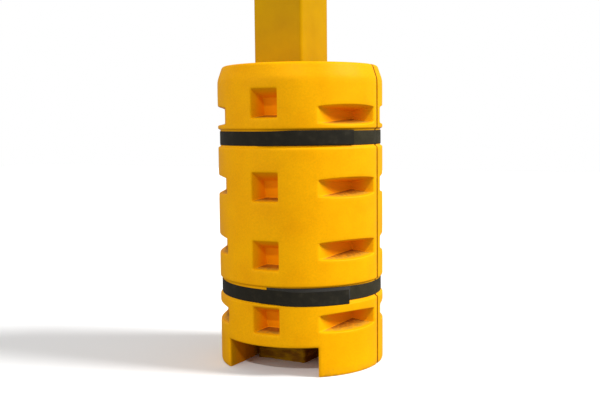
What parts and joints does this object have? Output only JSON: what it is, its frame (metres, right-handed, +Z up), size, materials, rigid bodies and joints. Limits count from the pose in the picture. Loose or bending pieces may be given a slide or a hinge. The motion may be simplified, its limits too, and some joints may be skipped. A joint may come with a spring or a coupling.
{
  "type": "column guard on a square steel post",
  "caption": "Round moulded plastic guard in two half shells, strapped around a square steel post standing on the floor.",
  "frame": {"origin": "on the floor, on the vertical axis of the closed round guard", "axes": "+Z up; the two half shells meet on the plane y = 0 and the front half faces -Y; +X is to the right seen from the front"},
  "size_m": [0.61, 0.61, 1.5],
  "materials": {
    "guard_plastic": "satin moulded polyethylene, coloured through, faintly mottled, dusty on ledges",
    "post_paint": "brushed-on yellow gloss paint, scuffed and dirty at the foot",
    "plug_plastic": "smooth moulded polyethylene",
    "strap_webbing": "black woven nylon webbing, slightly dusty",
    "hook_and_loop": "black hook-and-loop tape"
  },
  "bodies": {
    "post": {"post_tube": "post_paint", "post_cap": "post_paint"},
    "front_half": {"guard_half_front": "guard_plastic", "vent_plug_front": "plug_plastic"},
    "rear_half": {"guard_half_rear": "guard_plastic", "vent_plug_rear": "plug_plastic", "lower_strap_back": "strap_webbing", "upper_strap_back": "strap_webbing"},
    "lower_right_arm": {"lower_strap_right_arm": "strap_webbing", "lower_loop_pad": "hook_and_loop"},
    "lower_left_arm": {"lower_strap_left_arm": "strap_webbing"},
    "lower_tail": {"lower_strap_tail": "strap_webbing", "lower_hook_pad": "hook_and_loop"},
    "upper_right_arm": {"upper_strap_right_arm": "strap_webbing", "upper_loop_pad": "hook_and_loop"},
    "upper_left_arm": {"upper_strap_left_arm": "strap_webbing"},
    "upper_tail": {"upper_strap_tail": "strap_webbing", "upper_hook_pad": "hook_and_loop"}
  },
  "joints": [
    {"name": "front_half_slide", "type": "slide", "parent": "post", "child": "front_half", "axis": [0, -1, 0], "range_m": [0, 0.2]},
    {"name": "rear_half_slide", "type": "slide", "parent": "post", "child": "rear_half", "axis": [0, 1, 0], "range_m": [0, 0.2]},
    {"name": "lower_right_arm_fold", "type": "hinge", "parent": "rear_half", "child": "lower_right_arm", "pos_m": [0.2974, 0, 0.285], "axis": [0, 0, 1], "range_deg": [0, 78.1]},
    {"name": "lower_left_arm_fold", "type": "hinge", "parent": "rear_half", "child": "lower_left_arm", "pos_m": [-0.2974, 0, 0.285], "axis": [0, 0, -1], "range_deg": [0, 104.1]},
    {"name": "lower_tail_peel", "type": "hinge", "parent": "lower_left_arm", "child": "lower_tail", "pos_m": [0.01319, -0.30201, 0.285], "axis": [0, 0, -1], "range_deg": [0, 100]},
    {"name": "upper_right_arm_fold", "type": "hinge", "parent": "rear_half", "child": "upper_right_arm", "pos_m": [0.2974, 0, 0.829], "axis": [0, 0, 1], "range_deg": [0, 78.1]},
    {"name": "upper_left_arm_fold", "type": "hinge", "parent": "rear_half", "child": "upper_left_arm", "pos_m": [-0.2974, 0, 0.829], "axis": [0, 0, -1], "range_deg": [0, 104.1]},
    {"name": "upper_tail_peel", "type": "hinge", "parent": "upper_left_arm", "child": "upper_tail", "pos_m": [0.01319, -0.30201, 0.829], "axis": [0, 0, -1], "range_deg": [0, 100]}
  ],
  "couplings": [
    {"joint": "rear_half_slide", "follows": "front_half_slide", "ratio": 1},
    {"joint": "lower_right_arm_fold", "follows": "front_half_slide", "rad_per_m": 6.8068},
    {"joint": "lower_left_arm_fold", "follows": "front_half_slide", "rad_per_m": 9.0757},
    {"joint": "upper_right_arm_fold", "follows": "front_half_slide", "rad_per_m": 6.8068},
    {"joint": "upper_left_arm_fold", "follows": "front_half_slide", "rad_per_m": 9.0757}
  ]
}
